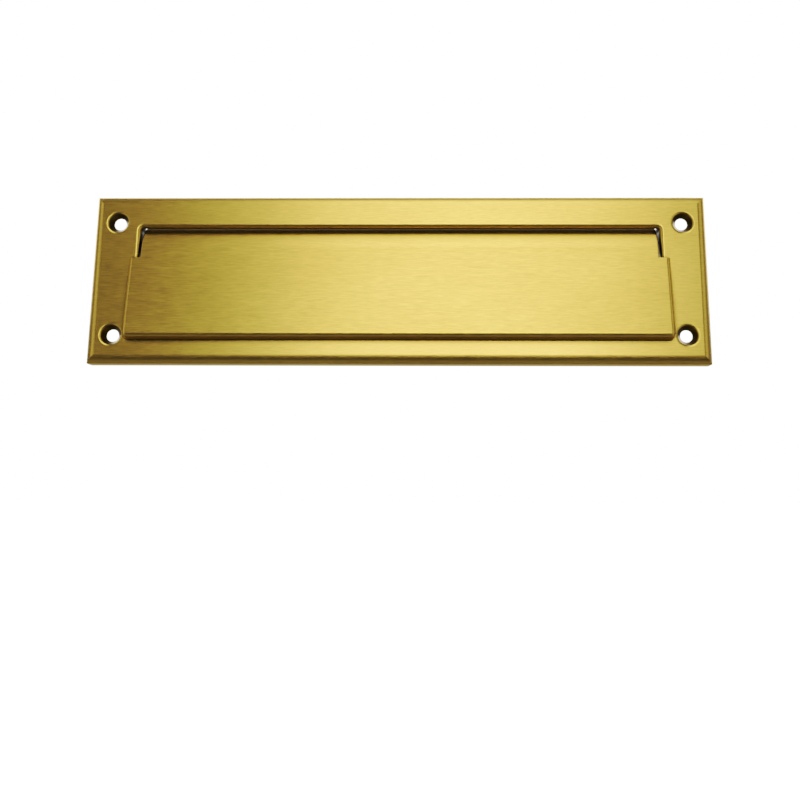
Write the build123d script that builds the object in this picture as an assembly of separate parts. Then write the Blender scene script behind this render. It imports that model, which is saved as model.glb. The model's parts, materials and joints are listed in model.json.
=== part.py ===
"""Letter plate: a pressed brass face plate with a sprung flap that hangs on a rod behind the slot.

Units are millimetres. X is the width, +Z is up, and -Y faces the street. The origin is the centre of
the four fixing holes, in the plane of the rim's back edge, which is the plane that meets the door.
"""
import os
from math import asin, atan2, cos, hypot, radians, sin, tan

from build123d import *

# ---- driving dimensions -------------------------------------------------------------------------
plate_width = 330.2
plate_height = 92.1
plate_depth = 7.9
plate_sheet = 1.0
rim_round = 4.9
rim_corner = 1.4

hole_pitch_x = 304.0
hole_pitch_z = 61.4
hole_dia = 6.7
dimple_dia = 11.2
dimple_depth = 3.3
dimple_lip_round = 1.5

slot_width = 279.4
slot_height = 56.4
slot_corner = 1.5
slot_bend = 2.0
slot_edge_top = -4.9
slot_edge_corner = 1.2
slot_edge_bottom = -2.4
slot_edge_side = -0.8
slot_edge_step_low = 2.5
slot_edge_step_high = 5.0
neck_side_clearance = 0.5

rod_y = -2.4
rod_z = 21.7
rod_dia = 4.0
journal_dia = 2.8
journal_clearance = 0.05
rod_half_length = 137.2
journal_end_headed = -142.9
journal_end_clipped = 147.2
head_dia = 4.6
head_thickness = 1.5
end_chamfer = 0.3

ear_radius = 4.4

flap_sheet = 0.9
flap_wide = 289.0
flap_narrow = 277.2
flap_shoulder_y = -9.1
flap_shoulder_z = 11.0
flap_lean = 6.5
flap_foot_z = -32.0
flap_crease_z = 14.3
flap_curve_radius = 20.0
flap_curve_angle = 49.0
flap_ear_top_angle = 42.0
flap_ear_bend = 0.8
lip_fall = 16.0
lip_gap = 0.1
tray_bend = 2.2

clip_x = 145.4
clip_thickness = 0.7
clip_dia = 6.4
clip_mouth = 1.9
clip_notch_dia = 1.4
clip_notch_y = 1.7
clip_notch_z = -0.5
groove_width = 0.8
groove_dia = 2.2

wire_dia = 1.0
coil_radius = 2.6
coil_turns = 11
coil_pitch = 0.98
coil_first_x = -136.2
leg_bend = 1.2
leg_clearance = 0.05
plate_leg_cross_z = 10.2
plate_leg_cross_rise = 0.6
plate_leg_outside = 0.5
plate_leg_foot_z = 2.0
plate_leg_foot_lean = 0.9
flap_leg_x = -125.1
flap_leg_lean = 46.0
flap_leg_rise = 6.5
flap_leg_hook_y = -1.95
flap_leg_hook_z = 2.3
flap_leg_turn = 300.0

# ---- worked out from them -----------------------------------------------------------------------
face_y = -plate_depth
rod_hole_dia = journal_dia + 2 * journal_clearance
flap_slope = tan(radians(flap_lean))
flap_foot_y = flap_shoulder_y - (flap_shoulder_z - flap_foot_z) * flap_slope
flap_crease_y = flap_shoulder_y + (flap_crease_z - flap_shoulder_z) * flap_slope
curve_y = flap_crease_y + flap_curve_radius
wire = wire_dia / 2
past = 20.0
near = 0.01


def across(profile, width):
    """Extrude a profile, drawn in (Y, Z), along X to both sides of the middle."""
    return extrude(Plane.YZ * profile, amount=width / 2, both=True)


def upright(profile, front, back):
    """Extrude a profile, drawn in (X, Z), from one Y to a later one."""
    return extrude(Plane((0, back, 0), x_dir=(1, 0, 0), z_dir=(0, -1, 0)) * profile, amount=back - front)


def round_bar(diameter, start_x, end_x):
    """A cylinder on the rod's axis from one X to another."""
    middle = Pos((start_x + end_x) / 2, rod_y, rod_z)
    return middle * Cylinder(diameter / 2, abs(end_x - start_x), rotation=(0, 90, 0))


def on_curve(radius, angle):
    """The (Y, Z) point of the flap's curved top at an angle up from the crease, in degrees."""
    return (curve_y - radius * cos(radians(angle)), flap_crease_z + radius * sin(radians(angle)))


def bent_wire(points, radius):
    """A round wire along straight runs joined by equal bends."""
    path = FilletPolyline(*points, radius=radius)
    start = Plane(origin=path @ 0, z_dir=path % 0)
    return sweep(start * Circle(wire), path=path)


# ---- face plate ---------------------------------------------------------------------------------
def pan(inset):
    """The pan's outer form, or its hollow when inset by the sheet, with rolled and mitred edges."""
    width = plate_width - 2 * inset
    height = plate_height - 2 * inset
    depth = plate_depth - inset
    roll = rim_round - inset
    half_width = width / 2
    half_height = height / 2

    def hump(half):
        outline = Polygon((-half, 0), (half, 0), (half, depth), (-half, depth), align=None)
        return fillet(outline.vertices().sort_by(Axis.Y)[-2:], roll)

    along_x = extrude(Plane((0, 0, 0), x_dir=(0, 0, 1), z_dir=(1, 0, 0)) * hump(half_height),
                      amount=half_width, both=True)
    along_z = extrude(Plane((0, 0, 0), x_dir=(-1, 0, 0), z_dir=(0, 0, 1)) * hump(half_width),
                      amount=half_height, both=True)
    return along_x & along_z & upright(RectangleRounded(width, height, rim_corner - inset), -depth, 0)


def dimple():
    """The cone pressed round one fixing hole, on the Z axis with the plate's face at zero."""
    rim = dimple_dia / 2
    hole = hole_dia / 2
    slope = atan2(dimple_depth, rim - hole)
    tip = dimple_depth + plate_sheet * cos(slope)
    back_rim = rim + plate_sheet / sin(slope) - plate_sheet / tan(slope)
    back_tip = back_rim - (tip - plate_sheet) / tan(slope)
    section = Polygon((rim, 0), (hole, dimple_depth), (hole, tip), (back_tip, tip),
                      (back_rim, plate_sheet), (rim + plate_sheet, plate_sheet), (rim + plate_sheet, 0),
                      align=None)
    return revolve(Plane.XZ * section, Axis.Z)


def make_face_plate():
    plate = pan(0) - pan(plate_sheet)

    outer = RectangleRounded(slot_width + 2 * plate_sheet, slot_height + 2 * plate_sheet,
                             slot_corner + plate_sheet)
    inner = RectangleRounded(slot_width, slot_height, slot_corner)
    plate += upright(outer, face_y, ear_radius)
    plate -= upright(inner, face_y - 1, ear_radius + 1)

    def loop(y, half_width, half_height):
        level = plate.edges().filter_by_position(Axis.Y, y - near, y + near)
        return [edge for edge in level
                if abs(edge.center().X) < half_width + near and abs(edge.center().Z) < half_height + near]

    plate = fillet(loop(face_y, slot_width / 2, slot_height / 2), slot_bend)
    plate = fillet(loop(face_y + plate_sheet, slot_width / 2 + plate_sheet, slot_height / 2 + plate_sheet),
                   slot_bend - plate_sheet)

    bend_end = face_y + slot_bend
    bottom_z = -slot_height / 2
    edge_line = Polygon((bend_end - 1, bottom_z - past),
                        (slot_edge_bottom, bottom_z - past),
                        (slot_edge_bottom, bottom_z + slot_edge_step_low),
                        (slot_edge_side, bottom_z + slot_edge_step_high),
                        (slot_edge_side, rod_z - rod_dia / 2),
                        (rod_y, rod_z),
                        (slot_edge_corner, rod_z + ear_radius),
                        (slot_edge_corner, past * 3),
                        (bend_end - 1, past * 3), align=None)
    kept = across(edge_line + Pos(rod_y, rod_z) * Circle(ear_radius), plate_width)
    spare = upright(Rectangle(slot_width + 4 * plate_sheet, slot_height + 4 * plate_sheet),
                    bend_end, past)
    plate -= spare - kept
    neck_notch = Rectangle(flap_narrow + 2 * neck_side_clearance, 4 * plate_sheet)
    plate -= upright(Pos(0, slot_height / 2) * neck_notch, slot_edge_top, past)

    cone_inward = Rotation(-90, 0, 0)
    for x in (-hole_pitch_x / 2, hole_pitch_x / 2):
        for z in (-hole_pitch_z / 2, hole_pitch_z / 2):
            plate -= upright(Pos(x, z) * Circle(dimple_dia / 2), face_y - 1, face_y + 2 * plate_sheet)
            plate += Pos(x, face_y, z) * cone_inward * dimple()

    rims = [edge for edge in plate.edges().filter_by(GeomType.CIRCLE)
            if abs(edge.radius - dimple_dia / 2) < near]
    plate = fillet(rims, dimple_lip_round)
    return plate - round_bar(rod_hole_dia, -slot_width / 2 - slot_bend, slot_width / 2 + slot_bend)


# ---- flap ---------------------------------------------------------------------------------------
def tray(inset):
    """The flap's wide part as a block, or its hollow when inset by the sheet, with rounded edges."""
    lean = radians(flap_lean)
    fall = radians(lip_fall)
    inward = inset / (1 + sin(fall - lean))
    foot_y = flap_foot_y + inward * (cos(lean) + sin(fall))
    foot_z = flap_foot_z + inward * (cos(fall) - sin(lean))
    head_z = flap_shoulder_z + past
    head_y = foot_y + (head_z - foot_z) * flap_slope
    back_z = foot_z - (past - foot_y) * tan(fall)
    block = across(Polygon((foot_y, foot_z), (past, back_z), (past, head_z), (head_y, head_z), align=None),
                   flap_wide - 2 * inset)
    corners = [edge for edge in block.edges()
               if any(hypot(end.Y - foot_y, end.Z - foot_z) < near for end in edge.vertices())]
    return fillet(corners, tray_bend - inset)


def flap_neck():
    """The section above the shoulders, in (Y, Z): straight to the crease, then curved back."""
    inner_radius = flap_curve_radius - flap_sheet
    middle = flap_curve_angle / 2
    front_low = (flap_shoulder_y, flap_shoulder_z)
    back_low = (flap_shoulder_y + flap_sheet / cos(radians(flap_lean)), flap_shoulder_z)
    front_crease = on_curve(flap_curve_radius, 0)
    back_crease = on_curve(inner_radius, 0)
    front_top = on_curve(flap_curve_radius, flap_curve_angle)
    back_top = on_curve(inner_radius, flap_curve_angle)
    outline = [
        Line(front_low, front_crease),
        ThreePointArc(front_crease, on_curve(flap_curve_radius, middle), front_top),
        Line(front_top, back_top),
        ThreePointArc(back_top, on_curve(inner_radius, middle), back_crease),
        Line(back_crease, back_low),
        Line(back_low, front_low),
    ]
    return make_face(outline)


def flap_ear():
    """One ear in (Y, Z): a round end about the rod, filled in to the neck's sheet."""
    foot = (flap_shoulder_y + flap_sheet / 2, flap_shoulder_z)
    reach = hypot(rod_y - foot[0], rod_z - foot[1])
    turn = atan2(rod_z - foot[1], rod_y - foot[0]) - asin(ear_radius / reach)
    tangent = (rod_y + ear_radius * sin(turn), rod_z - ear_radius * cos(turn))
    crown = (rod_y, rod_z + ear_radius)
    mid_sheet = flap_curve_radius - flap_sheet / 2
    neck = [on_curve(mid_sheet, flap_ear_top_angle * share) for share in (1, 0.75, 0.5, 0.25, 0)]
    web = Polygon(foot, tangent, (rod_y, rod_z), crown, *neck, align=None)
    return web + Pos(rod_y, rod_z) * Circle(ear_radius)


def ear_bends(flap):
    """The outside edges along which the ears are bent back from the neck."""
    found = []
    for edge in flap.edges():
        middle = edge @ 0.5
        on_side = abs(abs(middle.X) - flap_narrow / 2) < near and middle.Z > flap_shoulder_z + near
        on_line = abs(middle.Y - flap_crease_y - (middle.Z - flap_crease_z) * flap_slope) < near
        on_arc = abs(hypot(middle.Y - curve_y, middle.Z - flap_crease_z) - flap_curve_radius) < near
        if on_side and (on_line or on_arc):
            found.append(edge)
    return found


def make_flap():
    hanging = Rectangle(plate_width, 4 * past, align=(Align.CENTER, Align.MAX))
    pane = tray(0) - tray(flap_sheet)
    pane &= upright(Pos(0, flap_shoulder_z) * hanging, -2 * past, face_y - lip_gap)
    ear_plane = Plane((flap_narrow / 2 - flap_sheet, 0, 0), x_dir=(0, 1, 0), z_dir=(1, 0, 0))
    ear = extrude(ear_plane * flap_ear(), amount=flap_sheet)
    flap = pane + across(flap_neck(), flap_narrow) + ear + mirror(ear, about=Plane.YZ)
    flap = fillet(ear_bends(flap), flap_ear_bend)
    return flap - round_bar(rod_hole_dia, -flap_wide / 2, flap_wide / 2)


# ---- rod and clip -------------------------------------------------------------------------------
def make_hinge_rod():
    """A rod with turned-down ends: a rounded head at one end, a groove for the clip at the other."""
    rod = round_bar(rod_dia, -rod_half_length, rod_half_length)
    rod += round_bar(journal_dia, journal_end_headed, journal_end_clipped)
    rod = chamfer(rod.faces().sort_by(Axis.X)[-1].edges(), end_chamfer)
    rod += round_bar(head_dia, journal_end_headed - head_thickness, journal_end_headed)
    rod = fillet(rod.faces().sort_by(Axis.X)[0].edges(), head_thickness / 2)
    ring = round_bar(rod_dia, clip_x - groove_width / 2, clip_x + groove_width / 2)
    return rod - (ring - round_bar(groove_dia, clip_x - groove_width, clip_x + groove_width))


def make_retaining_clip():
    """An E-shaped clip whose mouth opens upwards."""
    ring = Circle(clip_dia / 2) - Circle(groove_dia / 2 + journal_clearance)
    ring -= Pos(0, clip_dia / 2) * Rectangle(clip_mouth, clip_dia)
    for side in (-1, 1):
        ring -= Pos(side * clip_notch_y, clip_notch_z) * Circle(clip_notch_dia / 2)
    place = Plane((clip_x - clip_thickness / 2, rod_y, rod_z), x_dir=(0, 1, 0), z_dir=(1, 0, 0))
    return extrude(place * ring, amount=clip_thickness)


# ---- torsion spring -----------------------------------------------------------------------------
def make_torsion_spring():
    """The close-wound coil with the leg that hooks over the plate's side edge."""
    turns = Sketch()
    for turn in range(coil_turns):
        turns += Pos(coil_first_x + turn * coil_pitch, coil_radius) * Circle(wire)
    coil = Pos(0, rod_y, rod_z) * revolve(turns, Axis.X)
    over_y = slot_edge_side + wire + leg_clearance
    outside_x = -slot_width / 2 - plate_sheet - wire - plate_leg_outside
    leg = bent_wire([(coil_first_x, rod_y + coil_radius, rod_z),
                     (coil_first_x, over_y, plate_leg_cross_z),
                     (outside_x, over_y, plate_leg_cross_z + plate_leg_cross_rise),
                     (outside_x - plate_leg_foot_lean, over_y - plate_leg_foot_lean, plate_leg_foot_z)],
                    leg_bend)
    return coil + leg


def make_flap_leg():
    """The other end of the spring: most of a turn round the rod, then up and over the flap's top edge."""
    lean = radians(flap_leg_lean)
    up = (sin(lean), cos(lean))
    leave = (rod_y - coil_radius * up[1], rod_z + coil_radius * up[0])
    tip = (leave[0] + flap_leg_rise * up[0], leave[1] + flap_leg_rise * up[1])
    hook = (tip[0] + flap_leg_hook_y, tip[1] + flap_leg_hook_z)
    place = Plane((flap_leg_x, rod_y, rod_z), x_dir=(0, 1, 0), z_dir=(1, 0, 0))
    around = place * CenterArc((0, 0), coil_radius, 180 - flap_leg_lean, flap_leg_turn)
    turn = sweep(Plane(origin=around @ 0, z_dir=around % 0) * Circle(wire), path=around)
    leg = bent_wire([(flap_leg_x, *leave), (flap_leg_x, *tip), (flap_leg_x, *hook)], leg_bend / 2)
    return turn + leg


# ---- write one STEP for each piece --------------------------------------------------------------
pieces = {
    "face_plate": make_face_plate(),
    "flap": make_flap(),
    "hinge_rod": make_hinge_rod(),
    "retaining_clip": make_retaining_clip(),
    "torsion_spring": make_torsion_spring(),
    "torsion_spring_flap_leg": make_flap_leg(),
}

os.makedirs("parts", exist_ok=True)
for name, piece in pieces.items():
    export_step(piece, f"parts/{name}.step")
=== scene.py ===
"""Looks of the letter plate: brass finishes, plated rod, black spring, studio light and camera."""
import json
from math import pi, radians

import bpy
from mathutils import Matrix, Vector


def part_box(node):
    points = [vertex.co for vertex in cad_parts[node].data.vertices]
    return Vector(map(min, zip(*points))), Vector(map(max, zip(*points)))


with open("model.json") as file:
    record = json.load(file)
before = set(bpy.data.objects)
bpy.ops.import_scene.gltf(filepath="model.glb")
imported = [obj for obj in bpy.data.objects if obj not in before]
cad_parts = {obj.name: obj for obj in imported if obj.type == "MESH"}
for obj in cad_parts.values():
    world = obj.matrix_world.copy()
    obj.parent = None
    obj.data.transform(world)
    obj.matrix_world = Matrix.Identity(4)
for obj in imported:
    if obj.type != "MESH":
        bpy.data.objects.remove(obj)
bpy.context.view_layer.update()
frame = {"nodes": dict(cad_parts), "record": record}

MM = 0.001
holes = next(mount for mount in frame["record"]["mounts"] if mount["name"] == "fixing_holes")["dims"]
hole_centre = (holes["spacing_x_mm"] / 2 * MM, holes["spacing_y_mm"] / 2 * MM)


# ---- shader helpers -----------------------------------------------------------------------------
# Where a colour Mix node keeps its share, its two colours and its result.
MIX_SHARE, MIX_A, MIX_B, MIX_RESULT = 0, 6, 7, 2

# Most of a noise's values lie in this part of its range.
NOISE_SPAN = (0.3, 0.7)

# Painted shade: the colour darkens in corners and gaps narrower than its reach.
# It is full where a face is open to less than the first share of what surrounds it, and gone where
# it is open to more than the second.
PAINTED_SHADE_REACH = 5 * MM
PAINTED_SHADE_OPEN = (0.60, 0.80)
PAINTED_SHADE_TONE = 0.08
PAINTED_SHADE_SAMPLES = 8

# The street's finish turns into the back's where the Y of a face's normal is within this of 0.
BACK_BLEND = 0.12


class Tree:
    """A node tree, with short calls for the nodes that the finishes and the light share."""

    def __init__(self, owner):
        owner.use_nodes = True
        self.tree = owner.node_tree
        self.tree.nodes.clear()
        self.coordinates = self.node("ShaderNodeTexCoord")

    def node(self, kind, **settings):
        made = self.tree.nodes.new(kind)
        for key, value in settings.items():
            setattr(made, key, value)
        return made

    def join(self, source, target):
        """Link a socket to the target, or set the target to a value."""
        if isinstance(source, bpy.types.NodeSocket):
            self.tree.links.new(source, target)
        else:
            target.default_value = source

    def math(self, operation, a, b=0.0, c=0.0):
        made = self.node("ShaderNodeMath", operation=operation)
        for value, target in zip((a, b, c), made.inputs):
            self.join(value, target)
        return made.outputs[0]

    def ramp(self, value, low, high, to_low=0.0, to_high=1.0, smooth=True):
        """Map low..high to to_low..to_high, held at the ends."""
        kind = "SMOOTHSTEP" if smooth else "LINEAR"
        made = self.node("ShaderNodeMapRange", interpolation_type=kind)
        limits = {"From Min": low, "From Max": high, "To Min": to_low, "To Max": to_high}
        for key, number in limits.items():
            made.inputs[key].default_value = number
        self.join(value, made.inputs["Value"])
        return made.outputs["Result"]


class Shader(Tree):
    """A material with one principled surface."""

    def __init__(self, name):
        self.material = bpy.data.materials.new(name)
        super().__init__(self.material)
        self.surface = self.node("ShaderNodeBsdfPrincipled")
        output = self.node("ShaderNodeOutputMaterial")
        self.join(self.surface.outputs["BSDF"], output.inputs["Surface"])

    def set(self, **values):
        """Set the surface's own sockets, named with _ for a space."""
        for key, value in values.items():
            self.join(value, self.surface.inputs[key.replace("_", " ")])

    def noise(self, scale, detail=2.0, roughness=0.5, distortion=0.0):
        """Noise from 0 to 1, with about scale (x, y, z) bumps to the metre."""
        stretch = self.node("ShaderNodeVectorMath", operation="MULTIPLY")
        self.join(self.coordinates.outputs["Object"], stretch.inputs[0])
        stretch.inputs[1].default_value = scale
        made = self.node("ShaderNodeTexNoise")
        self.join(stretch.outputs[0], made.inputs["Vector"])
        made.inputs["Scale"].default_value = 1.0
        made.inputs["Detail"].default_value = detail
        made.inputs["Roughness"].default_value = roughness
        made.inputs["Distortion"].default_value = distortion
        return made.outputs["Fac"]

    def blend(self, share, a, b):
        """Colour a where share is 0 and b where it is 1."""
        made = self.node("ShaderNodeMix", data_type="RGBA")
        self.join(share, made.inputs[MIX_SHARE])
        for colour, place in ((a, MIX_A), (b, MIX_B)):
            linked = isinstance(colour, bpy.types.NodeSocket)
            self.join(colour if linked else (*colour, 1.0), made.inputs[place])
        return made.outputs[MIX_RESULT]

    def shade(self, colour, factor):
        """A colour times a number."""
        made = self.node("ShaderNodeVectorMath", operation="SCALE")
        self.join(colour, made.inputs[0])
        self.join(factor, made.inputs["Scale"])
        return made.outputs[0]

    def bump(self, height, distance, strength):
        made = self.node("ShaderNodeBump")
        self.join(height, made.inputs["Height"])
        made.inputs["Distance"].default_value = distance
        made.inputs["Strength"].default_value = strength
        return made.outputs["Normal"]

    def tangent(self, axis):
        """A tangent along one of the object's axes, so that brushing turns with the piece."""
        turned = self.node("ShaderNodeVectorTransform", vector_type="VECTOR",
                           convert_from="OBJECT", convert_to="WORLD")
        turned.inputs[0].default_value = axis
        self.join(turned.outputs[0], self.surface.inputs["Tangent"])

    def painted_shade(self):
        """Painted shade: 1 on open faces, down to its least tone in narrow corners and gaps."""
        made = self.node("ShaderNodeAmbientOcclusion", samples=PAINTED_SHADE_SAMPLES)
        made.inputs["Distance"].default_value = PAINTED_SHADE_REACH
        return self.ramp(made.outputs["AO"], *PAINTED_SHADE_OPEN, PAINTED_SHADE_TONE, 1.0)

    def far_from(self, centre_x, centre_z):
        """Distance in metres from the nearest of four points, mirrored about the middle in X and Z."""
        split = self.node("ShaderNodeSeparateXYZ")
        self.join(self.coordinates.outputs["Object"], split.inputs[0])
        x = self.math("SUBTRACT", self.math("ABSOLUTE", split.outputs["X"]), centre_x)
        z = self.math("SUBTRACT", self.math("ABSOLUTE", split.outputs["Z"]), centre_z)
        return self.math("SQRT", self.math("MULTIPLY_ADD", x, x, self.math("MULTIPLY", z, z)))

    def back_share(self):
        """1 on faces that look through the door (+Y), 0 on faces that look at the street."""
        split = self.node("ShaderNodeSeparateXYZ")
        self.join(self.coordinates.outputs["Normal"], split.inputs[0])
        return self.ramp(split.outputs["Y"], -BACK_BLEND, BACK_BLEND)


# ---- brass --------------------------------------------------------------------------------------
# Each finish is a blend of a lighter and a deeper colour.
BRASS = (0.80, 0.58, 0.155)
BRASS_DEEP = (0.75, 0.53, 0.14)
BACK_BRASS = (0.37, 0.265, 0.08)
BACK_BRASS_DEEP = (0.31, 0.22, 0.065)
RAW_BRASS = (0.97, 0.75, 0.27)
STAIN = (0.72, 0.48, 0.13)

# Noise scales, in bumps to the metre along X, Y and Z. The brushing is far longer than it is wide.
BRUSH_FINE = (150.0, 1900.0, 1900.0)
BRUSH_COARSE = (45.0, 475.0, 475.0)
PLATE_CLOUDS = (9.0, 9.0, 22.0)
FLAP_CLOUDS = (7.0, 7.0, 18.0)
BACK_MOTTLE = (28.0, 28.0, 28.0)
BACK_GRAIN = (2600.0, 2600.0, 2600.0)
STAIN_BLOTCHES = (38.0, 38.0, 30.0)
STAIN_RUBBING = (120.0, 120.0, 90.0)

# The brushing: its mix of fine and coarse streaks, its swing of tone, and its height as a bump.
FINE_SHARE, COARSE_SHARE = 0.85, 0.15
STREAK_TONE = (0.84, 1.14)
STREAK_HEIGHT = 0.02 * MM
STREAK_BUMP = 0.6
ACROSS_BRUSHING = (0.0, 0.0, 1.0)

# The dimples' cones are painted dark: painted shade in the hollows. It is full
# within the first distance of the hole's centre, and gone beyond the second.
DIMPLE_SHADE_CORE = 4.9 * MM
DIMPLE_EDGE = 5.8 * MM
DIMPLE_SHADE_TONE = 0.25

# Roughness on the street side, from the streaks' low to their high, and what the back adds.
PLATE_ROUGHNESS = (0.30, 0.36)
PLATE_BACK_ROUGHER = 0.04
FLAP_ROUGHNESS = (0.29, 0.35)
FLAP_BACK_ROUGHER = 0.10
STAIN_ROUGHER = 0.10

# How much of the grain the plate's back shows, and how much of the streaks the flap's back loses.
BACK_GRAIN_HEIGHT = 0.4
FLAP_BACK_SMOOTHED = 0.8

# Where the flap's stain and its rubbing begin and are full in their noise, and the stain's strength:
# the least, and what the rubbing varies.
BLOTCH_SPAN = (0.42, 0.68)
RUBBED_SPAN = (0.35, 0.75)
STAIN_LEAST, STAIN_VARIES = 0.25, 0.6


def brushed(shader):
    """Fine brushing along X: long thin streaks, as a height and as a tone."""
    fine = shader.noise(BRUSH_FINE, detail=3.0, roughness=0.65)
    coarse = shader.noise(BRUSH_COARSE, detail=2.0)
    return shader.math("ADD", shader.math("MULTIPLY", fine, FINE_SHARE),
                       shader.math("MULTIPLY", coarse, COARSE_SHARE))


def street_brass(shader, streaks, clouds):
    """The brushed colour of the street side, a little darker in slow clouds."""
    tone = shader.ramp(streaks, *NOISE_SPAN, *STREAK_TONE, smooth=False)
    cloud = shader.ramp(shader.noise(clouds, detail=3.0), *NOISE_SPAN)
    return shader.shade(shader.blend(cloud, BRASS_DEEP, BRASS), tone)


def plate_brass():
    """Satin brass, brushed along X on the street side and plain satin, duller, on the back."""
    shader = Shader("plate_brass")
    streaks = brushed(shader)
    front = street_brass(shader, streaks, PLATE_CLOUDS)
    mottle = shader.ramp(shader.noise(BACK_MOTTLE, detail=4.0), *NOISE_SPAN)
    back = shader.blend(mottle, BACK_BRASS_DEEP, BACK_BRASS)
    share = shader.back_share()
    # Painted shade darkens the street side in the dimples' cones.
    dimple_shade = shader.ramp(shader.far_from(*hole_centre), DIMPLE_SHADE_CORE, DIMPLE_EDGE, DIMPLE_SHADE_TONE, 1.0)
    front = shader.shade(front, dimple_shade)
    # Painted shade darkens the colour in corners and gaps.
    colour = shader.shade(shader.blend(share, front, back), shader.painted_shade())
    roughness = shader.math("MULTIPLY_ADD", share, PLATE_BACK_ROUGHER,
                            shader.ramp(streaks, *NOISE_SPAN, *PLATE_ROUGHNESS))
    grain = shader.noise(BACK_GRAIN, detail=1.0)
    lines = shader.math("MULTIPLY", streaks, shader.math("SUBTRACT", 1.0, share))
    height = shader.math("MULTIPLY_ADD", grain,
                         shader.math("MULTIPLY", share, BACK_GRAIN_HEIGHT), lines)
    shader.set(Base_Color=colour, Metallic=1.0, Anisotropic=0.55, Roughness=roughness,
               Coat_Weight=0.25, Coat_Roughness=0.25,
               Normal=shader.bump(height, STREAK_HEIGHT, STREAK_BUMP))
    shader.tangent(ACROSS_BRUSHING)
    return shader.material


def flap_brass():
    """The same brushed brass at the front, and bare stained brass on the back."""
    shader = Shader("flap_brass")
    streaks = brushed(shader)
    front = street_brass(shader, streaks, FLAP_CLOUDS)
    blotch = shader.noise(STAIN_BLOTCHES, detail=6.0, roughness=0.62, distortion=0.8)
    rubbed = shader.ramp(shader.noise(STAIN_RUBBING, detail=5.0, roughness=0.7), *RUBBED_SPAN)
    stain = shader.math("MULTIPLY", shader.ramp(blotch, *BLOTCH_SPAN),
                        shader.math("MULTIPLY_ADD", rubbed, STAIN_VARIES, STAIN_LEAST))
    back = shader.blend(stain, RAW_BRASS, STAIN)
    share = shader.back_share()
    # Painted shade darkens the colour in corners and gaps.
    colour = shader.shade(shader.blend(share, front, back), shader.painted_shade())
    dulled = shader.math("MULTIPLY", share,
                         shader.math("MULTIPLY_ADD", stain, STAIN_ROUGHER, FLAP_BACK_ROUGHER))
    roughness = shader.math("ADD", dulled, shader.ramp(streaks, *NOISE_SPAN, *FLAP_ROUGHNESS))
    smoothed = shader.math("SUBTRACT", 1.0, shader.math("MULTIPLY", share, FLAP_BACK_SMOOTHED))
    height = shader.math("MULTIPLY", streaks, smoothed)
    shader.set(Base_Color=colour, Metallic=1.0, Anisotropic=0.5, Roughness=roughness,
               Coat_Weight=0.2, Coat_Roughness=0.25,
               Normal=shader.bump(height, STREAK_HEIGHT, STREAK_BUMP))
    shader.tangent(ACROSS_BRUSHING)
    return shader.material


# ---- steel --------------------------------------------------------------------------------------
ZINC = (0.80, 0.82, 0.85)
ZINC_DULL = (0.56, 0.58, 0.62)
ZINC_ROUGHNESS = (0.12, 0.24)
DRAWING_LINES = (18.0, 4200.0, 4200.0)
DRAWING_HEIGHT = 0.008 * MM
ZINC_CLOUDS = (60.0, 400.0, 400.0)

OXIDE = (0.010, 0.011, 0.013)
OXIDE_WORN = (0.045, 0.046, 0.05)
OXIDE_ROUGHNESS = (0.28, 0.42)
OXIDE_GRAIN = (2500.0, 2500.0, 2500.0)
OXIDE_HEIGHT = 0.006 * MM
WEAR = (900.0, 900.0, 900.0)
WEAR_SPAN = (0.5, 0.75)

STEEL_BUMP = 0.5


def plated_steel():
    """Bright zinc plate with faint drawing lines along the rod."""
    shader = Shader("plated_steel")
    lines = shader.noise(DRAWING_LINES, detail=2.0)
    cloud = shader.noise(ZINC_CLOUDS, detail=3.0)
    shader.set(Base_Color=shader.blend(cloud, ZINC_DULL, ZINC), Metallic=1.0,
               Roughness=shader.ramp(cloud, *NOISE_SPAN, *ZINC_ROUGHNESS),
               Normal=shader.bump(lines, DRAWING_HEIGHT, STEEL_BUMP))
    return shader.material


def black_steel():
    """Oiled black oxide on spring wire and clip."""
    shader = Shader("black_steel")
    wear = shader.ramp(shader.noise(WEAR, detail=3.0), *WEAR_SPAN)
    shader.set(Base_Color=shader.blend(wear, OXIDE, OXIDE_WORN), Metallic=0.6,
               Roughness=shader.ramp(wear, 0.0, 1.0, *OXIDE_ROUGHNESS),
               Normal=shader.bump(shader.noise(OXIDE_GRAIN), OXIDE_HEIGHT, STEEL_BUMP))
    return shader.material


def dress(node, material):
    frame["nodes"][node].data.materials.clear()
    frame["nodes"][node].data.materials.append(material)


black = black_steel()
dress("face_plate", plate_brass())
dress("flap", flap_brass())
dress("hinge_rod", plated_steel())
for node in ("retaining_clip", "torsion_spring", "torsion_spring_flap_leg"):
    dress(node, black)


# ---- light, floor and camera --------------------------------------------------------------------
WHITE = (1.0, 1.0, 1.0, 1.0)
AMBIENT = 0.06

# Each soft panel's angle sideways towards +X, then its turn about X (0 street, 90 up, 180 inside the
# door), both as middle, half width and fade in degrees, and last its strength.
PANELS = {
    "street": ((1.5, 9.5, 7.5), (18.0, 20.0, 8.0), 0.72),
    "street middle": ((1.5, 9.5, 7.5), (4.0, 7.0, 3.0), 1.25),
    "street above": ((1.5, 9.5, 7.5), (55.0, 9.0, 26.0), 1.05),
    "overhead": ((1.0, 30.0, 20.0), (86.0, 8.0, 9.0), 0.14),
    "street right": ((48.0, 11.0, 9.0), (0.0, 60.0, 25.0), 0.28),
    "street left": ((-48.0, 11.0, 9.0), (0.0, 60.0, 25.0), 0.28),
    "inside low": ((0.0, 48.0, 20.0), (-156.0, 22.0, 12.0), 0.30),
    "inside high": ((0.0, 48.0, 20.0), (142.0, 17.0, 7.0), 1.35),
    "far right": ((72.0, 14.0, 14.0), (60.0, 60.0, 40.0), 0.12),
    "far left": ((-72.0, 14.0, 14.0), (60.0, 60.0, 40.0), 0.12),
    "below": ((0.0, 60.0, 20.0), (-90.0, 14.0, 16.0), 0.12),
}


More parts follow.
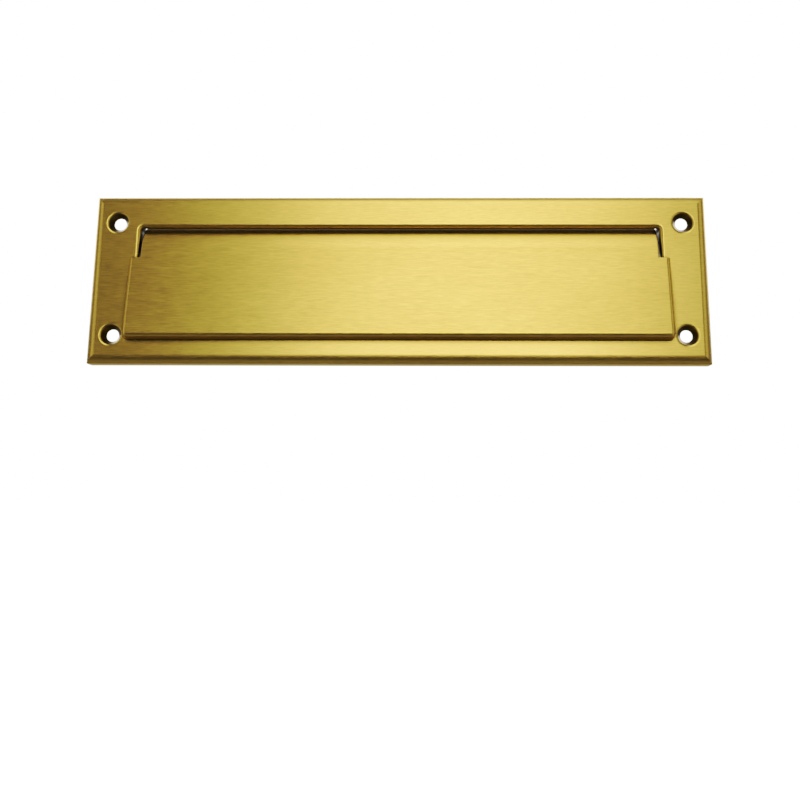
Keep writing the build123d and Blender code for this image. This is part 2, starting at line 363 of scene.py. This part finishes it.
def studio_world():
    """White to the camera, and soft panels on a dim surround to everything else."""
    world = bpy.data.worlds.new("studio")
    bpy.context.scene.world = world
    tree = Tree(world)
    split = tree.node("ShaderNodeSeparateXYZ")
    tree.join(tree.coordinates.outputs["Generated"], split.inputs[0])
    sideways = tree.math("ARCSINE", split.outputs["X"])
    turn = tree.math("ARCTAN2", split.outputs["Z"], tree.math("MULTIPLY", split.outputs["Y"], -1.0))

    def window(angle, middle, half, fade):
        """1 within half of the middle angle, down to 0 over the fade."""
        apart = tree.math("WRAP", tree.math("SUBTRACT", angle, radians(middle)), pi, -pi)
        return tree.ramp(tree.math("ABSOLUTE", apart), radians(half), radians(half + fade), 1.0, 0.0)

    total = AMBIENT
    for across, around, strength in PANELS.values():
        shape = tree.math("MULTIPLY", window(sideways, *across), window(turn, *around))
        total = tree.math("MULTIPLY_ADD", shape, strength, total)
    lit = tree.node("ShaderNodeBackground")
    white = tree.node("ShaderNodeBackground")
    for background in (lit, white):
        background.inputs["Color"].default_value = WHITE
    tree.join(total, lit.inputs["Strength"])
    chosen = tree.node("ShaderNodeMixShader")
    tree.join(tree.node("ShaderNodeLightPath").outputs["Is Camera Ray"], chosen.inputs[0])
    tree.join(lit.outputs[0], chosen.inputs[1])
    tree.join(white.outputs[0], chosen.inputs[2])
    tree.join(chosen.outputs[0], tree.node("ShaderNodeOutputWorld").inputs["Surface"])


# How far below the plate the floor lies and how far it runs each way, in metres.
FLOOR_DROP = 0.30
FLOOR_REACH = 12.0
FLOOR_PALE = (0.93, 0.93, 0.93, 1.0)


def studio_floor():
    """A wide pale floor well below the plate, left out of its reflections."""
    mesh = bpy.data.meshes.new("floor")
    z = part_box("face_plate")[0].z - FLOOR_DROP
    corners = [(-1, -1), (1, -1), (1, 1), (-1, 1)]
    mesh.from_pydata([(x * FLOOR_REACH, y * FLOOR_REACH, z) for x, y in corners], [], [(0, 1, 2, 3)])
    floor = bpy.data.objects.new("floor", mesh)
    bpy.context.scene.collection.objects.link(floor)
    shader = Shader("floor")
    shader.set(Base_Color=FLOOR_PALE, Roughness=0.9, Emission_Color=WHITE, Emission_Strength=0.75)
    mesh.materials.append(shader.material)
    floor.visible_glossy = False


def studio_camera():
    """The photograph's own view: from the street side, a little to the right and below."""
    data = bpy.data.cameras.new("camera")
    data.sensor_width = 36.0
    data.lens = 38.33
    data.shift_x = -0.0482
    data.shift_y = -0.0811
    data.clip_start, data.clip_end = 0.01, 60.0
    camera = bpy.data.objects.new("camera", data)
    camera.location = (26.9 * MM, -448.6 * MM, -109.0 * MM)
    camera.rotation_euler = (radians(100.06), radians(-0.2), radians(0.69))
    bpy.context.scene.collection.objects.link(camera)
    bpy.context.scene.camera = camera


# The picture's tone curve: strong in the shadows, gentle in the lights.
TONE_POINTS = ((0.05, 0.04), (0.10, 0.12), (0.20, 0.325), (0.44, 0.60), (0.70, 0.82))
ALL_COLOURS_CURVE = 3


def tone_curve():
    """Lay the tone curve over the picture. It doesn't reach the exported model."""
    view = bpy.context.scene.view_settings
    view.view_transform = "Standard"
    view.use_curve_mapping = True
    curve = view.curve_mapping.curves[ALL_COLOURS_CURVE]
    for point in TONE_POINTS:
        curve.points.new(*point)
    view.curve_mapping.update()


studio_world()
studio_floor()
studio_camera()
tone_curve()
